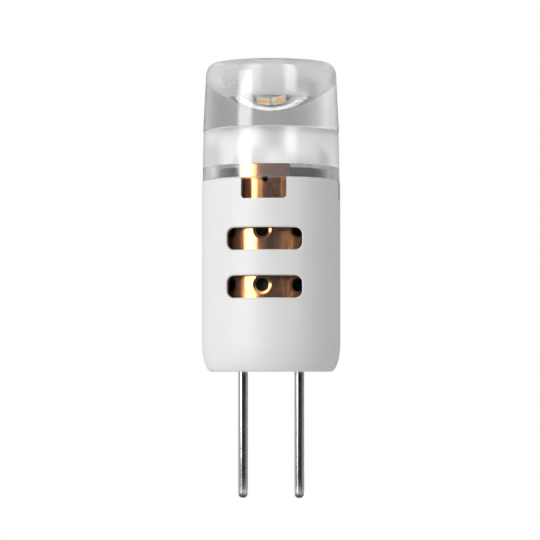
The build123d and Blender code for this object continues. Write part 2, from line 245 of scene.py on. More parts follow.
for source, target in (
    (place.outputs["Object"], grain_noise.inputs["Vector"]),
    (group_in.outputs["Grains per Metre"], grain_noise.inputs["Scale"]),
    (place.outputs["Object"], flow_noise.inputs["Vector"]),
    (group_in.outputs["Flow Marks per Metre"], flow_noise.inputs["Scale"]),
    (flow_noise.outputs["Fac"], flow_tone.inputs["Factor"]),
    (group_in.outputs["Polymer"], flow_tone.inputs["A"]),
    (group_in.outputs["Flow Tint"], flow_tone.inputs["B"]),
    (grain_noise.outputs["Fac"], sheen.inputs["Value"]),
    (group_in.outputs["Least Roughness"], sheen.inputs["To Min"]),
    (group_in.outputs["Most Roughness"], sheen.inputs["To Max"]),
    (flow_tone.outputs["Result"], group_out.inputs["Color"]),
    (sheen.outputs["Result"], group_out.inputs["Roughness"]),
    (grain_noise.outputs["Fac"], group_out.inputs["Height"]),
):
    moulded_skin.links.new(source, target)

# How far a point lies from the bulb's axis
axis_distance, group_in, group_out = new_group("axis distance", [], [("Distance", "NodeSocketFloat")])
place = axis_distance.nodes.new("ShaderNodeTexCoord")
across = axis_distance.nodes.new("ShaderNodeVectorMath")
across.operation = "MULTIPLY"
across.inputs[1].default_value = (1, 1, 0)
from_axis = axis_distance.nodes.new("ShaderNodeVectorMath")
from_axis.operation = "LENGTH"
for source, target in (
    (place.outputs["Object"], across.inputs[0]),
    (across.outputs["Vector"], from_axis.inputs[0]),
    (from_axis.outputs["Value"], group_out.inputs["Distance"]),
):
    axis_distance.links.new(source, target)

housing_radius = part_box("housing")[1].x
rim_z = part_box("housing")[1].z
# Painted shade: the vent walls and the inside, from above the floor to just under the rim, are painted grey
painted_vent_shade_grey = (0.22, 0.21, 0.2, 1)
painted_shade_depths = (0.05 * mm, 0.45 * mm)
painted_shade_heights = (2 * mm, 2.5 * mm)
painted_shade_under_rim = (0.02 * mm, 0.1 * mm)
white_polymer, tree_nodes, links, shader = new_finish("white polymer")
skin = place_group(
    tree_nodes,
    moulded_skin,
    Polymer=(0.85, 0.85, 0.835, 1),
    Flow_Tint=(0.82, 0.82, 0.81, 1),
)
from_axis = place_group(tree_nodes, axis_distance).outputs["Distance"]
height = place_axes(tree_nodes, links)["Z"]
# Where the painted shade falls: deeper than the outer skin, above the floor and under the rim
inside = smooth_rise(tree_nodes, links, from_axis, *(housing_radius - depth for depth in painted_shade_depths))
above_floor = smooth_rise(tree_nodes, links, height, *painted_shade_heights)
below_rim = smooth_rise(tree_nodes, links, height, *(rim_z - depth for depth in painted_shade_under_rim))
painted_vent_shade = product(tree_nodes, links, product(tree_nodes, links, inside, above_floor), below_rim)
vent_shaded = tone_over(tree_nodes, links, painted_vent_shade, skin.outputs["Color"], painted_vent_shade_grey)
links.new(vent_shaded, shader.inputs["Base Color"])
links.new(skin.outputs["Roughness"], shader.inputs["Roughness"])
add_bump(tree_nodes, links, shader, skin.outputs["Height"], distance=0.01 * mm, strength=0.3)
shader.inputs["Subsurface Weight"].default_value = 0.1
shader.inputs["Subsurface Radius"].default_value = (1, 0.9, 0.8)
shader.inputs["Subsurface Scale"].default_value = 0.3 * mm
nodes["housing"].data.materials[0] = white_polymer


# Driver board
# A glass-fibre board that stands on the floor between the pins, with their tops soldered into its notches.
# Green solder mask covers it, and takes up a little of the laminate's grain.


def even_finish(name, effect, metallic, bump_distance, bump_strength, **values):
    """A finish that one shared effect covers all over."""
    finish, tree_nodes, links, shader = new_finish(name)
    shader.inputs["Metallic"].default_value = metallic
    skin = place_group(tree_nodes, effect, **values)
    links.new(skin.outputs["Color"], shader.inputs["Base Color"])
    links.new(skin.outputs["Roughness"], shader.inputs["Roughness"])
    add_bump(tree_nodes, links, shader, skin.outputs["Height"], bump_distance, bump_strength)
    return finish


board_mask = even_finish(
    "green solder mask",
    moulded_skin,
    metallic=0.0,
    bump_distance=0.01 * mm,
    bump_strength=0.3,
    Polymer=(0.02, 0.13, 0.05, 1),
    Flow_Tint=(0.03, 0.17, 0.07, 1),
    Grains_per_Metre=4000,
    Flow_Marks_per_Metre=1500,
    Least_Roughness=0.25,
    Most_Roughness=0.4,
)
nodes["driver_board"].data.materials[0] = board_mask


# Chip capacitors and resistor
# Fired ceramic blocks with tinned caps baked on both ends, soldered flat to the board's faces.
# The caps are told from the ceramic by their place along the block.

tin = (0.62, 0.61, 0.58, 1)


def tinned_finish(name, node, body_sizes, bump_distance, bump_strength, **values):
    """A moulded or fired body's finish that turns to tin on whatever lies outside the body's sizes."""
    finish, tree_nodes, links, shader = new_finish(name)
    low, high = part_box(node)
    middle = (low + high) / 2
    skin = place_group(tree_nodes, moulded_skin, **values)
    axes = place_axes(tree_nodes, links)
    within = []
    for axis, size in body_sizes.items():
        reach = tree_nodes.new("ShaderNodeMath")
        reach.operation = "COMPARE"
        reach.inputs[1].default_value = middle["XYZ".index(axis)]
        reach.inputs[2].default_value = size / 2
        links.new(axes[axis], reach.inputs[0])
        within.append(reach.outputs["Value"])
    on_body = within[0] if len(within) == 1 else product(tree_nodes, links, *within)
    on_tin = tree_nodes.new("ShaderNodeMath")
    on_tin.operation = "SUBTRACT"
    on_tin.inputs[0].default_value = 1
    links.new(on_body, on_tin.inputs[1])
    tinned = tone_over(tree_nodes, links, on_tin.outputs["Value"], skin.outputs["Color"], tin)
    links.new(tinned, shader.inputs["Base Color"])
    links.new(on_tin.outputs["Value"], shader.inputs["Metallic"])
    links.new(skin.outputs["Roughness"], shader.inputs["Roughness"])
    add_bump(tree_nodes, links, shader, skin.outputs["Height"], bump_distance, bump_strength)
    nodes[node].data.materials[0] = finish


cap_length = 0.35 * mm
for name, node, ceramic, ceramic_tint in (
    ("output_capacitor ceramic", "output_capacitor", (0.36, 0.24, 0.13, 1), (0.42, 0.29, 0.17, 1)),
    ("input_capacitor ceramic", "input_capacitor", (0.36, 0.24, 0.13, 1), (0.42, 0.29, 0.17, 1)),
    ("resistor glaze", "sense_resistor", (0.012, 0.012, 0.014, 1), (0.02, 0.02, 0.022, 1)),
):
    low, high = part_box(node)
    tinned_finish(
        name,
        node,
        {"X": high.x - low.x - 2 * cap_length},
        bump_distance=0.008 * mm,
        bump_strength=0.4,
        Polymer=ceramic,
        Flow_Tint=ceramic_tint,
        Grains_per_Metre=6000,
        Flow_Marks_per_Metre=2500,
        Least_Roughness=0.3,
        Most_Roughness=0.5,
    )


# Inductor
# A black ferrite drum, pressed and fired, wound with enamelled copper wire between its flanges.
# The winding's turns lie side by side round the drum.

ferrite = even_finish(
    "ferrite",
    moulded_skin,
    metallic=0.0,
    bump_distance=0.01 * mm,
    bump_strength=0.6,
    Polymer=(0.02, 0.02, 0.021, 1),
    Flow_Tint=(0.035, 0.034, 0.033, 1),
    Grains_per_Metre=7000,
    Flow_Marks_per_Metre=3000,
    Least_Roughness=0.45,
    Most_Roughness=0.7,
)
nodes["inductor_core"].data.materials[0] = ferrite

wire_pitch = 0.12 * mm
enamelled_wire, tree_nodes, links, shader = new_finish("enamelled wire")
shader.inputs["Metallic"].default_value = 1.0
shader.inputs["Coat Weight"].default_value = 0.5
wound = place_group(
    tree_nodes,
    drawn_metal,
    Bright=(0.6, 0.2, 0.07, 1),
    Dull=(0.36, 0.1, 0.03, 1),
    Line_Stretch=(1, 1, 1),
    Patches_per_Metre=2500,
    Least_Roughness=0.2,
    Most_Roughness=0.35,
)
place = tree_nodes.new("ShaderNodeTexCoord")
turns = tree_nodes.new("ShaderNodeTexWave")
turns.bands_direction = "Y"
turns.inputs["Scale"].default_value = pi / (10 * wire_pitch)
links.new(place.outputs["Object"], turns.inputs["Vector"])
links.new(wound.outputs["Color"], shader.inputs["Base Color"])
links.new(wound.outputs["Roughness"], shader.inputs["Roughness"])
add_bump(tree_nodes, links, shader, turns.outputs["Fac"], distance=wire_pitch / 2, strength=1.0)
nodes["inductor_coil"].data.materials[0] = enamelled_wire


# Diodes and driver chip
# Black epoxy mouldings on tinned lead frames, soldered to the back of the board.
# What stands near the board, outside the drafted body, is the bare tinned lead.

diode_body = {"X": 1.72 * mm, "Z": 1.3 * mm}
chip_body = {"X": 2.95 * mm, "Z": 1.62 * mm}
for name, node, body_sizes in (
    ("rectifier_diode_1 epoxy", "rectifier_diode_1", diode_body),
    ("rectifier_diode_2 epoxy", "rectifier_diode_2", diode_body),
    ("rectifier_diode_3 epoxy", "rectifier_diode_3", diode_body),
    ("rectifier_diode_4 epoxy", "rectifier_diode_4", diode_body),
    ("freewheel_diode epoxy", "freewheel_diode", diode_body),
    ("chip epoxy", "driver_chip", chip_body),
):
    tinned_finish(
        name,
        node,
        body_sizes,
        bump_distance=0.01 * mm,
        bump_strength=0.5,
        Polymer=(0.012, 0.012, 0.012, 1),
        Flow_Tint=(0.02, 0.02, 0.02, 1),
        Grains_per_Metre=12000,
        Flow_Marks_per_Metre=1500,
        Least_Roughness=0.4,
        Most_Roughness=0.6,
    )


# Heat-sink sleeve
# Bare copper sheet, punched, rolled into a tube and dropped over the driver onto the floor, inside the ribs.
# Rolling left a grain along the sheet, and the metal has begun to brown under fine flecks of grey film.

film_grey = (0.32, 0.33, 0.35, 1)
copper_sheet, tree_nodes, links, shader = new_finish("copper sheet")
rolled = place_group(
    tree_nodes,
    drawn_metal,
    Bright=(0.68, 0.28, 0.09, 1),
    Dull=(0.48, 0.175, 0.055, 1),
    Line_Stretch=(1, 1, 0.06),
    Lines_per_Metre=7000,
    Patches_per_Metre=700,
    Least_Roughness=0.12,
    Most_Roughness=0.26,
)
place = tree_nodes.new("ShaderNodeTexCoord")
film_noise = tree_nodes.new("ShaderNodeTexNoise")
film_noise.inputs["Scale"].default_value = 60000
film_noise.inputs["Detail"].default_value = 2
film = tree_nodes.new("ShaderNodeMapRange")
film.inputs["From Min"].default_value = 0.54
film.inputs["From Max"].default_value = 0.64
bare = tree_nodes.new("ShaderNodeMath")
bare.operation = "SUBTRACT"
bare.inputs[0].default_value = 1
filmed = tone_over(tree_nodes, links, film.outputs["Result"], rolled.outputs["Color"], film_grey)
for source, target in (
    (place.outputs["Object"], film_noise.inputs["Vector"]),
    (film_noise.outputs["Fac"], film.inputs["Value"]),
    (film.outputs["Result"], bare.inputs[1]),
    (filmed, shader.inputs["Base Color"]),
    (bare.outputs["Value"], shader.inputs["Metallic"]),
    (rolled.outputs["Roughness"], shader.inputs["Roughness"]),
):
    links.new(source, target)
add_bump(tree_nodes, links, shader, rolled.outputs["Height"], distance=0.01 * mm, strength=0.35)
nodes["heat_sink_sleeve"].data.materials[0] = copper_sheet


# LED board and its leads
# A metal-core disc under a dark mask, held on the sleeve's edge between the two bent-up tabs.
# Its dark colour is partly the mask's own and partly painted shade.
# Two tinned wires come up through it from the driver.

# Partly painted shade: the board's dark colour also stands for the shade round its edge
dark_mask_and_painted_shade = even_finish(
    "dark mask and painted shade",
    moulded_skin,
    metallic=0.0,
    bump_distance=0.01 * mm,
    bump_strength=0.3,
    Polymer=(0.035, 0.04, 0.045, 1),
    Flow_Tint=(0.055, 0.06, 0.065, 1),
    Grains_per_Metre=5000,
    Flow_Marks_per_Metre=1200,
    Least_Roughness=0.25,
    Most_Roughness=0.4,
)
nodes["led_board"].data.materials[0] = dark_mask_and_painted_shade

tinned_wire = even_finish(
    "tinned wire",
    drawn_metal,
    metallic=1.0,
    bump_distance=0.008 * mm,
    bump_strength=0.5,
    Bright=(0.68, 0.67, 0.64, 1),
    Dull=(0.5, 0.49, 0.46, 1),
    Line_Stretch=(1, 1, 0.3),
    Lines_per_Metre=5000,
    Patches_per_Metre=2000,
    Least_Roughness=0.2,
    Most_Roughness=0.4,
)
for side in ("left", "right"):
    nodes[f"led_lead_{side}"].data.materials[0] = tinned_wire


# LED packages
# Two white moulded cups, soldered side by side on the board and filled with orange-yellow phosphor in
# silicone. The cups are glossy, and the phosphor's grains show as a fine mottle.

package_white = even_finish(
    "package white",
    moulded_skin,
    metallic=0.0,
    bump_distance=0.005 * mm,
    bump_strength=0.3,
    Polymer=(0.86, 0.86, 0.83, 1),
    Flow_Tint=(0.82, 0.81, 0.78, 1),
    Grains_per_Metre=15000,
    Flow_Marks_per_Metre=1200,
    Least_Roughness=0.25,
    Most_Roughness=0.4,
)
phosphor_gel = even_finish(
    "phosphor gel",
    moulded_skin,
    metallic=0.0,
    bump_distance=0.006 * mm,
    bump_strength=0.4,
    Polymer=(0.9, 0.4, 0.04, 1),
    Flow_Tint=(0.85, 0.5, 0.08, 1),
    Grains_per_Metre=20000,
    Flow_Marks_per_Metre=3000,
    Least_Roughness=0.15,
    Most_Roughness=0.3,
)
for side in ("left", "right"):
    nodes[f"led_package_{side}"].data.materials[0] = package_white
    nodes[f"led_phosphor_{side}"].data.materials[0] = phosphor_gel


# Lens collar
# A clear acrylic ring on the housing's rim, with two keys under it that snap into the side notches. The mould
# left its bore satin beside the LED board and frosted above, where the outside has a light haze. The frost's
# grey clouds are partly uneven frosting and partly painted shade.

collar_top_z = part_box("lens_collar")[1].z
collar_key_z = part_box("lens_collar")[0].z
collar_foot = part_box("lens_collar")[1].x
collar_draft = radians(1.0)
collar_wall = 0.9 * mm
collar_bore = collar_foot - collar_wall
collar_top = collar_foot - (collar_top_z - rim_z) * tan(collar_draft)
joint_edge = 0.05 * mm
key_half_width = 0.67 * mm
frost_z = rim_z + 0.95 * mm
turned_steps = 256
joint_steps = 6
sharp_from = radians(25)


def rounded_corner(centre_radius, centre_z, radius_across, radius_up, start, end, steps):
    """Points along an elliptical arc of a turned profile, from one angle to another in degrees."""
    angles = [radians(start + (end - start) * step / steps) for step in range(steps + 1)]
    return [(centre_radius + radius_across * cos(a), centre_z + radius_up * sin(a)) for a in angles]


def turned_mesh(name, profile, closed):
    """A profile of (radius, height) points turned round Z; an open one begins and ends on the axis."""
    made = bmesh.new()
    rings = []
    for radius, height in profile:
        if radius == 0:
            rings.append([made.verts.new((0, 0, height))] * turned_steps)
            continue
        angles = [2 * pi * step / turned_steps for step in range(turned_steps)]
        rings.append([made.verts.new((radius * cos(a), radius * sin(a), height)) for a in angles])
    pairs = list(zip(rings, rings[1:])) + ([(rings[-1], rings[0])] if closed else [])
    for lower, upper in pairs:
        for step in range(turned_steps):
            after = (step + 1) % turned_steps
            corners = [lower[step], lower[after], upper[after], upper[step]]
            made.faces.new(list(dict.fromkeys(corners)))
    bmesh.ops.recalc_face_normals(made, faces=made.faces)
    mesh = bpy.data.meshes.new(name)
    made.to_mesh(mesh)
    made.free()
    mesh.shade_smooth()
    mesh.set_sharp_from_angle(angle=sharp_from)
    return mesh


collar_profile = [
    (collar_bore, rim_z),
    (collar_foot, rim_z),
    (collar_foot - (frost_z - rim_z) * tan(collar_draft), frost_z),
    *rounded_corner(
        collar_top - joint_edge, collar_top_z - joint_edge, joint_edge, joint_edge, 0, 90, joint_steps
    ),
    (collar_bore, collar_top_z),
    (collar_bore, frost_z),
]
collar_mesh = turned_mesh("clear_collar", collar_profile, closed=True)
keyed = bmesh.new()
keyed.from_mesh(collar_mesh)
foot_faces = [
    face
    for face in keyed.faces
    if all(abs(v.co.z - rim_z) < 0.01 * mm for v in face.verts)
    and abs(face.calc_center_median().y) < key_half_width
]
lowered = {}
for face in foot_faces:
    for vert in face.verts:
        if vert not in lowered:
            lowered[vert] = keyed.verts.new((vert.co.x, vert.co.y, collar_key_z))
for face in foot_faces:
    keyed.faces.new([lowered[vert] for vert in face.verts])
    for edge in face.edges:
        if sum(neighbour in foot_faces for neighbour in edge.link_faces) == 1:
            first, second = edge.verts
            keyed.faces.new([first, second, lowered[second], lowered[first]])
bmesh.ops.delete(keyed, geom=foot_faces, context="FACES")
bmesh.ops.recalc_face_normals(keyed, faces=keyed.faces)
keyed.to_mesh(collar_mesh)
keyed.free()
collar_mesh.shade_smooth()
collar_mesh.set_sharp_from_angle(angle=sharp_from)
clear_collar = bpy.data.objects.new("clear_collar", collar_mesh)
bpy.context.scene.collection.objects.link(clear_collar)

# Shrinkage while an acrylic moulding cools leaves a slow waviness in its skin
moulded_ripple, group_in, group_out = new_group(
    "moulded ripple",
    [("Ripples per Metre", "NodeSocketFloat", 300), ("Grains per Metre", "NodeSocketFloat", 8000)],
    [("Height", "NodeSocketFloat"), ("Grain", "NodeSocketFloat")],
)
place = moulded_ripple.nodes.new("ShaderNodeTexCoord")
ripple_noise = moulded_ripple.nodes.new("ShaderNodeTexNoise")
ripple_noise.inputs["Detail"].default_value = 1
skin_noise = moulded_ripple.nodes.new("ShaderNodeTexNoise")
for source, target in (
    (place.outputs["Object"], ripple_noise.inputs["Vector"]),
    (group_in.outputs["Ripples per Metre"], ripple_noise.inputs["Scale"]),
    (place.outputs["Object"], skin_noise.inputs["Vector"]),
    (group_in.outputs["Grains per Metre"], skin_noise.inputs["Scale"]),
    (ripple_noise.outputs["Fac"], group_out.inputs["Height"]),
    (skin_noise.outputs["Fac"], group_out.inputs["Grain"]),
):
    moulded_ripple.links.new(source, target)

acrylic_ior = 1.49
acrylic_tint = (0.985, 0.99, 0.99, 1)
hazed_tint = (0.95, 0.955, 0.955, 1)
# Partly painted shade: the grey of the frosted bore's clouds
frost_grey_and_painted_shade = (0.6, 0.605, 0.61, 1)
frost_white = (1, 1, 1, 1)
polished_roughness = 0.07


def acrylic_finish(name, tint, roughness, clearness, **values):
    """Acrylic that lets a share of the light through, and the ripple that its skin may take."""
    finish, tree_nodes, links, shader = new_finish(name)
    shader.inputs["Base Color"].default_value = tint
    shader.inputs["Roughness"].default_value = roughness
    shader.inputs["IOR"].default_value = acrylic_ior
    shader.inputs["Transmission Weight"].default_value = clearness
    return finish, tree_nodes, links, shader, place_group(tree_nodes, moulded_ripple, **values)


clear_acrylic, tree_nodes, links, shader, rippled = acrylic_finish(
    "clear acrylic", acrylic_tint, polished_roughness, clearness=0.97
)
add_bump(tree_nodes, links, shader, rippled.outputs["Height"], distance=0.02 * mm, strength=0.1)
satin_acrylic, tree_nodes, links, shader, rippled = acrylic_finish(
    "satin acrylic", acrylic_tint, roughness=0.25, clearness=0.96
)
add_bump(tree_nodes, links, shader, rippled.outputs["Grain"], distance=0.01 * mm, strength=0.3)
hazed_acrylic, tree_nodes, links, shader, rippled = acrylic_finish(
    "hazed acrylic", hazed_tint, roughness=0.16, clearness=0.75
)
add_bump(tree_nodes, links, shader, rippled.outputs["Grain"], distance=0.01 * mm, strength=0.3)
frosted_acrylic, tree_nodes, links, shader, rippled = acrylic_finish(
    "frosted acrylic", frost_white, roughness=0.5, clearness=0.1, Ripples_per_Metre=340
)
# Partly painted shade: grey clouds laid over the white frost
clouds_and_painted_shade = smooth_rise(tree_nodes, links, rippled.outputs["Height"], start=0.38, end=0.62)
clouded_and_painted_shade = tree_nodes.new("ShaderNodeMix")
clouded_and_painted_shade.data_type = "RGBA"
clouded_and_painted_shade.inputs["A"].default_value = frost_grey_and_painted_shade
clouded_and_painted_shade.inputs["B"].default_value = frost_white
links.new(clouds_and_painted_shade, clouded_and_painted_shade.inputs["Factor"])
links.new(clouded_and_painted_shade.outputs["Result"], shader.inputs["Base Color"])
add_bump(tree_nodes, links, shader, rippled.outputs["Grain"], distance=0.01 * mm, strength=0.5)

for finish in (clear_acrylic, satin_acrylic, frosted_acrylic, hazed_acrylic):
    collar_mesh.materials.append(finish)
for face in collar_mesh.polygons:
    in_bore = Vector(face.center[:2]).length < collar_bore + joint_edge
    if face.center.z > frost_z:
        face.material_index = 2 if in_bore else 3
    elif in_bore:
        face.material_index = 1
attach(clear_collar, "root")
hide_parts("lens_collar")


# Lens
# A solid head of clear acrylic that plugs into the collar. The parabolic bowl in its top throws the light of
# the packages out to the sides. The bowl's floor is polished, and its wall is pitted from a blasted mould.

lens_foot_z = collar_top_z
spigot_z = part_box("lens")[0].z
lens_top_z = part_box("lens")[1].z
lens_overhang = 0.03 * mm
lens_draft = radians(2.86)
shoulder_width = 0.575 * mm
shoulder_height = 0.9 * mm
shoulder_steps = 24
lip_flat = 0.05 * mm
bowl_depth = 3.47 * mm
bowl_steps = 48
spigot_clearance = 0.03 * mm
lens_foot = collar_top + lens_overhang
shoulder_z = lens_top_z - shoulder_height
shoulder_radius = lens_foot - (shoulder_z - lens_foot_z) * tan(lens_draft)
lip_radius = shoulder_radius - shoulder_width
bowl_radius = lip_radius - lip_flat
bowl_floor_z = lens_top_z - bowl_depth
spigot_radius = collar_bore - spigot_clearance
bowl_curve = [
    (bowl_radius * (1 - step / bowl_steps), bowl_floor_z + bowl_depth * (1 - step / bowl_steps) ** 2)
    for step in range(bowl_steps + 1)
]
lens_profile = [
    (0, spigot_z),
    (spigot_radius / 2, spigot_z),
    (spigot_radius, spigot_z),
    (spigot_radius, lens_foot_z),
    *rounded_corner(
        lens_foot - joint_edge, lens_foot_z + joint_edge, joint_edge, joint_edge, -90, 0, joint_steps
    ),
    *rounded_corner(lip_radius, shoulder_z, shoulder_width, shoulder_height, 0, 90, shoulder_steps),
    *bowl_curve,
]
clear_lens = bpy.data.objects.new("clear_lens", turned_mesh("clear_lens", lens_profile, closed=False))
bpy.context.scene.collection.objects.link(clear_lens)
polished_radius = 1.9 * mm
veiled_radius = 2.2 * mm
blasted_radius = 2.6 * mm
blasted_roughness = 0.24
clear_lens.data.materials.append(clear_acrylic)
for skin_name, clearness in (("veiled bowl", 0.92), ("blasted bowl", 0.6)):
    bowl_skin, tree_nodes, links, shader, rippled = acrylic_finish(
        skin_name, acrylic_tint, polished_roughness, clearness, Grains_per_Metre=7000
    )
    from_axis = place_group(tree_nodes, axis_distance).outputs["Distance"]
    blasting = smooth_rise(
        tree_nodes, links, from_axis, polished_radius, blasted_radius, polished_roughness, blasted_roughness
    )
    links.new(blasting, shader.inputs["Roughness"])
    pitting = product(tree_nodes, links, blasting, rippled.outputs["Grain"])
    add_bump(tree_nodes, links, shader, pitting, distance=0.3 * mm, strength=0.6)
    clear_lens.data.materials.append(bowl_skin)
for face in clear_lens.data.polygons:
    across_axis = Vector(face.center[:2]).length
    if face.center.z > bowl_floor_z and polished_radius < across_axis < lip_radius:
        face.material_index = 1 if across_axis < veiled_radius else 2
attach(clear_lens, "root")
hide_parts("lens")


# Camera
# The photograph is taken from a little right of the bulb's front, level with the housing's underside.
# Its distance and lens follow from how the lens's top edge and the housing's foot curve.

camera_azimuth = radians(6.5)
camera_distance = 184 * mm
aim_height = 7.2 * mm
aim_offset = -0.078 * mm
towards_camera = Vector((sin(camera_azimuth), -cos(camera_azimuth), 0))
camera_right = Vector((cos(camera_azimuth), sin(camera_azimuth), 0))
camera_data = bpy.data.cameras.new("camera")
camera_data.sensor_width = 36
camera_data.lens = 173.3
camera_data.clip_start = 1 * mm
camera = bpy.data.objects.new("camera", camera_data)
aim = camera_right * aim_offset + Vector((0, 0, aim_height))
camera.location = towards_camera * camera_distance + camera_right * aim_offset
camera.rotation_euler = (aim - camera.location).to_track_quat("-Z", "Y").to_euler()
bpy.context.scene.collection.objects.link(camera)
bpy.context.scene.camera = camera


# Floor
# A small round white sheet that the pin tips stand on. It looks white to the camera, in the metal and through
# the clear pieces, and keeps the bulb's soft shadow.


def seen_level(tree_nodes, links, unseen, seen):
    """One level for light that fills, and another for what the camera, metal and clear pieces show."""
    ray = tree_nodes.new("ShaderNodeLightPath")
    in_metal = tree_nodes.new("ShaderNodeMath")
    in_metal.operation = "ADD"
    in_clear = tree_nodes.new("ShaderNodeMath")
    in_clear.operation = "ADD"
    in_clear.use_clamp = True
    level = tree_nodes.new("ShaderNodeMapRange")
    level.inputs["To Min"].default_value = unseen
    level.inputs["To Max"].default_value = seen
    for source, target in (
        (ray.outputs["Is Camera Ray"], in_metal.inputs[0]),
        (ray.outputs["Is Glossy Ray"], in_metal.inputs[1]),
        (in_metal.outputs["Value"], in_clear.inputs[0]),
        (ray.outputs["Is Transmission Ray"], in_clear.inputs[1]),
        (in_clear.outputs["Value"], level.inputs["Value"]),
    ):
        links.new(source, target)
    return level.outputs["Result"]


floor_z = cad_box[0][2]
floor_radius = 9 * mm
floor_steps = 96
floor_glow = 0.58
floor_mesh = bpy.data.meshes.new("floor")
floor_corners = [2 * pi * step / floor_steps for step in range(floor_steps)]
floor_mesh.from_pydata(
    [(floor_radius * cos(a), floor_radius * sin(a), floor_z) for a in floor_corners],
    [],
    [tuple(range(floor_steps))],
)
floor = bpy.data.objects.new("floor", floor_mesh)
bpy.context.scene.collection.objects.link(floor)
white_sheet, tree_nodes, links, shader = new_finish("white sheet")
shader.inputs["Base Color"].default_value = (0.8, 0.8, 0.8, 1)
shader.inputs["Roughness"].default_value = 0.9
shader.inputs["Specular IOR Level"].default_value = 0.0
shader.inputs["Emission Color"].default_value = (1, 1, 1, 1)
links.new(seen_level(tree_nodes, links, 0.0, floor_glow), shader.inputs["Emission Strength"])
floor_mesh.materials.append(white_sheet)


# Lights
# A soft box to the front left with a wash beside it that mirrors don't show, two tall strips above eye level
# that only mirrors show, a lamp for the far side, and a white room that fills the shadows.

# The cloth over a lamp fades towards its edges, from a distance off its middle that each lamp sets
soft_cloth, group_in, group_out = new_group(
    "soft cloth",
    [("Full Across", "NodeSocketFloat", 0.2), ("Full Up", "NodeSocketFloat", 0.2)],
    [("Shade", "NodeSocketFloat")],
)
cloth_place = soft_cloth.nodes.new("ShaderNodeNewGeometry")
from_centre = soft_cloth.nodes.new("ShaderNodeVectorMath")
from_centre.operation = "SUBTRACT"
from_centre.inputs[1].default_value = (0.5, 0.5, 0)
to_edge = soft_cloth.nodes.new("ShaderNodeVectorMath")
to_edge.operation = "ABSOLUTE"
axes = soft_cloth.nodes.new("ShaderNodeSeparateXYZ")
soft_cloth.links.new(cloth_place.outputs["Parametric"], from_centre.inputs[0])
soft_cloth.links.new(from_centre.outputs["Vector"], to_edge.inputs[0])
soft_cloth.links.new(to_edge.outputs["Vector"], axes.inputs["Vector"])
fades = []
for axis, full_until in (("X", "Full Across"), ("Y", "Full Up")):
    fade = soft_cloth.nodes.new("ShaderNodeMapRange")
    fade.interpolation_type = "SMOOTHSTEP"
    fade.inputs["From Min"].default_value = 0.5
    soft_cloth.links.new(axes.outputs[axis], fade.inputs["Value"])
    soft_cloth.links.new(group_in.outputs[full_until], fade.inputs["From Max"])
    fades.append(fade.outputs["Result"])
soft_cloth.links.new(product(soft_cloth.nodes, soft_cloth.links, *fades), group_out.inputs["Shade"])


def add_lamp(name, width, height, power, place, facing):
    """A rectangular lamp, turned to face along a direction."""
    lamp_data = bpy.data.lights.new(name, "AREA")
    lamp_data.shape = "RECTANGLE"
    lamp_data.size = width
    lamp_data.size_y = height
    lamp_data.energy = power
    lamp = bpy.data.objects.new(name, lamp_data)
    lamp.location = place
    lamp.rotation_euler = facing.to_track_quat("-Z", "Y").to_euler()
    bpy.context.scene.collection.objects.link(lamp)
    return lamp


def cover_lamp(lamp, full_across, full_up):
    """Stretch the soft cloth over a lamp."""
    lamp.data.use_nodes = True
    tree_nodes, links = lamp.data.node_tree.nodes, lamp.data.node_tree.links
    stretched = place_group(tree_nodes, soft_cloth, Full_Across=full_across, Full_Up=full_up)
    links.new(stretched.outputs["Shade"], tree_nodes["Emission"].inputs["Color"])


def lamp_spot(bearing_from_camera, height):
    """A place on the ring of lamps, at a bearing in degrees from the camera's."""
    azimuth = camera_azimuth + radians(bearing_from_camera)
    return Vector((sin(azimuth) * lamp_distance, -cos(azimuth) * lamp_distance, height))


lamp_distance = 300 * mm
soft_box_bearing = -45
soft_box_z = 35 * mm
soft_box_width = 180 * mm
soft_box_height = 110 * mm
soft_box_place = lamp_spot(soft_box_bearing, soft_box_z)
for lamp_name, power, in_reflections in (("soft_box", 0.68, True), ("soft_box_wash", 0.24, False)):
    lamp = add_lamp(
        lamp_name, soft_box_width, soft_box_height, power, soft_box_place, aim - soft_box_place
    )
    lamp.visible_glossy = in_reflections
    cover_lamp(lamp, full_across=0.2, full_up=0.2)

strip_foot_z = 54 * mm
strip_height = 260 * mm
for strip_name, bearing_from_camera, strip_width, power in (
    ("high_strip_left", -33, 260 * mm, 1.0),
    ("high_strip_right", 34, 180 * mm, 1.06),
):
    strip_place = lamp_spot(bearing_from_camera, strip_foot_z + strip_height / 2)
    inward = -lamp_spot(bearing_from_camera, 0)
    strip = add_lamp(strip_name, strip_width, strip_height, power, strip_place, inward)
    strip.visible_diffuse = False
    strip.visible_transmission = False
    cover_lamp(strip, full_across=0.1, full_up=0.49)

back_lamp_bearing = 180
back_lamp_z = 120 * mm
back_lamp_side = 160 * mm
back_lamp_power = 0.3
back_lamp_place = lamp_spot(back_lamp_bearing, back_lamp_z)
back_lamp = add_lamp(
    "back_lamp", back_lamp_side, back_lamp_side, back_lamp_power, back_lamp_place, aim - back_lamp_place
)
back_lamp.visible_glossy = False
back_lamp.visible_transmission = False

room_fill = 0.53
room_white = 1.0
room = bpy.data.worlds.new("room")
bpy.context.scene.world = room
room.use_nodes = True
tree_nodes, links = room.node_tree.nodes, room.node_tree.links
background = tree_nodes["Background"]
background.inputs["Color"].default_value = (1, 1, 1, 1)
links.new(seen_level(tree_nodes, links, room_fill, room_white), background.inputs["Strength"])


# Reflection screen
# A paper dome round the table gives the metal and the clear pieces something to show: dark beside the camera,
# grey behind the bulb, paler to the sides and white overhead. It lights only what the clear pieces cover.

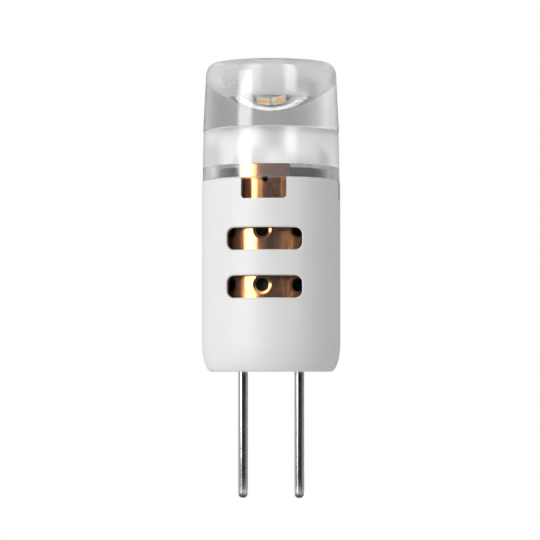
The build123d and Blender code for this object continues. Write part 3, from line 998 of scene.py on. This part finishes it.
screen_radius = 420 * mm
overhead_white = (1, 1, 1, 1)
room_light = (1.6, 1.6, 1.6, 1)
overhead_from = radians(14)
overhead_full = radians(30)
screen_shades = (
    (-180, 0.34),
    (-170, 0.31),
    (-160, 0.38),
    (-149, 0.55),
    (-139, 0.8),
    (-115, 0.8),
    (-75, 0.35),
    (-58, 0.03),
    (48, 0.02),
    (60, 0.16),
    (90, 0.42),
    (118, 0.5),
    (134, 0.35),
    (145, 0.32),
    (160, 0.37),
    (180, 0.34),
)
screen_mesh = bpy.data.meshes.new("reflection_screen")
made = bmesh.new()
bmesh.ops.create_uvsphere(made, u_segments=64, v_segments=32, radius=screen_radius)
made.to_mesh(screen_mesh)
made.free()
reflection_screen = bpy.data.objects.new("reflection_screen", screen_mesh)
reflection_screen.rotation_euler = (0, 0, camera_azimuth)
reflection_screen.visible_camera = False
reflection_screen.visible_diffuse = False
reflection_screen.visible_shadow = False
bpy.context.scene.collection.objects.link(reflection_screen)
screen_paper, tree_nodes, links, shader = new_finish("screen paper")
shader.inputs["Base Color"].default_value = (0, 0, 0, 1)
shader.inputs["Specular IOR Level"].default_value = 0.0
shader.inputs["Emission Strength"].default_value = 1.0
axes = place_axes(tree_nodes, links)
front = tree_nodes.new("ShaderNodeMath")
front.operation = "MULTIPLY"
front.inputs[1].default_value = -1
bearing = tree_nodes.new("ShaderNodeMath")
bearing.operation = "ARCTAN2"
share = tree_nodes.new("ShaderNodeMapRange")
share.inputs["From Min"].default_value = -pi
share.inputs["From Max"].default_value = pi
shades = tree_nodes.new("ShaderNodeValToRGB")
stops = shades.color_ramp.elements
while len(stops) < len(screen_shades):
    stops.new(0.5)
for stop, (degrees_round, shade) in zip(stops, screen_shades):
    stop.position = (degrees_round + 180) / 360
    stop.color = (shade, shade, shade, 1)
overhead = tree_nodes.new("ShaderNodeMapRange")
overhead.inputs["From Min"].default_value = screen_radius * sin(overhead_from)
overhead.inputs["From Max"].default_value = screen_radius * sin(overhead_full)
ray = tree_nodes.new("ShaderNodeLightPath")
scattered = tree_nodes.new("ShaderNodeMath")
scattered.operation = "GREATER_THAN"
scattered.inputs[1].default_value = 0.5
lid = tone_over(tree_nodes, links, overhead.outputs["Result"], shades.outputs["Color"], overhead_white)
lit = tone_over(tree_nodes, links, scattered.outputs["Value"], lid, room_light)
for source, target in (
    (axes["Y"], front.inputs[0]),
    (axes["X"], bearing.inputs[0]),
    (front.outputs["Value"], bearing.inputs[1]),
    (bearing.outputs["Value"], share.inputs["Value"]),
    (share.outputs["Result"], shades.inputs["Fac"]),
    (axes["Z"], overhead.inputs["Value"]),
    (ray.outputs["Diffuse Depth"], scattered.inputs[0]),
    (lit, shader.inputs["Emission Color"]),
):
    links.new(source, target)
screen_mesh.materials.append(screen_paper)


# Flag
# A curved black card to the right of the camera, a little above the floor. Only mirrors show it, and it is
# what makes the right half of the sleeve look dark.

flag_radius = 250 * mm
flag_foot_z = 2 * mm
flag_top_z = 40 * mm
flag_from = radians(42)
flag_to = radians(130)
flag_steps = 24
flag_bearings = [flag_from + (flag_to - flag_from) * step / flag_steps for step in range(flag_steps + 1)]
flag_mesh = bpy.data.meshes.new("flag")
flag_mesh.from_pydata(
    [
        (flag_radius * sin(round_from_camera), -flag_radius * cos(round_from_camera), edge_z)
        for round_from_camera in flag_bearings
        for edge_z in (flag_foot_z, flag_top_z)
    ],
    [],
    [(2 * step, 2 * step + 1, 2 * step + 3, 2 * step + 2) for step in range(flag_steps)],
)
flag = bpy.data.objects.new("flag", flag_mesh)
flag.rotation_euler = (0, 0, camera_azimuth)
flag.visible_camera = False
flag.visible_diffuse = False
flag.visible_transmission = False
flag.visible_shadow = False
bpy.context.scene.collection.objects.link(flag)
flag_card, tree_nodes, links, shader = new_finish("flag card")
shader.inputs["Base Color"].default_value = (0.01, 0.01, 0.01, 1)
shader.inputs["Specular IOR Level"].default_value = 0.0
flag_mesh.materials.append(flag_card)


# View and paths of light
# Colours show as they are written. Light crosses the clear pieces many times before it leaves them, so it may
# bounce more often than it would in a scene without them.

most_bounces = 32
bpy.context.scene.view_settings.view_transform = "Standard"
bpy.context.scene.cycles.max_bounces = most_bounces
bpy.context.scene.cycles.transmission_bounces = most_bounces
bpy.context.scene.cycles.glossy_bounces = most_bounces
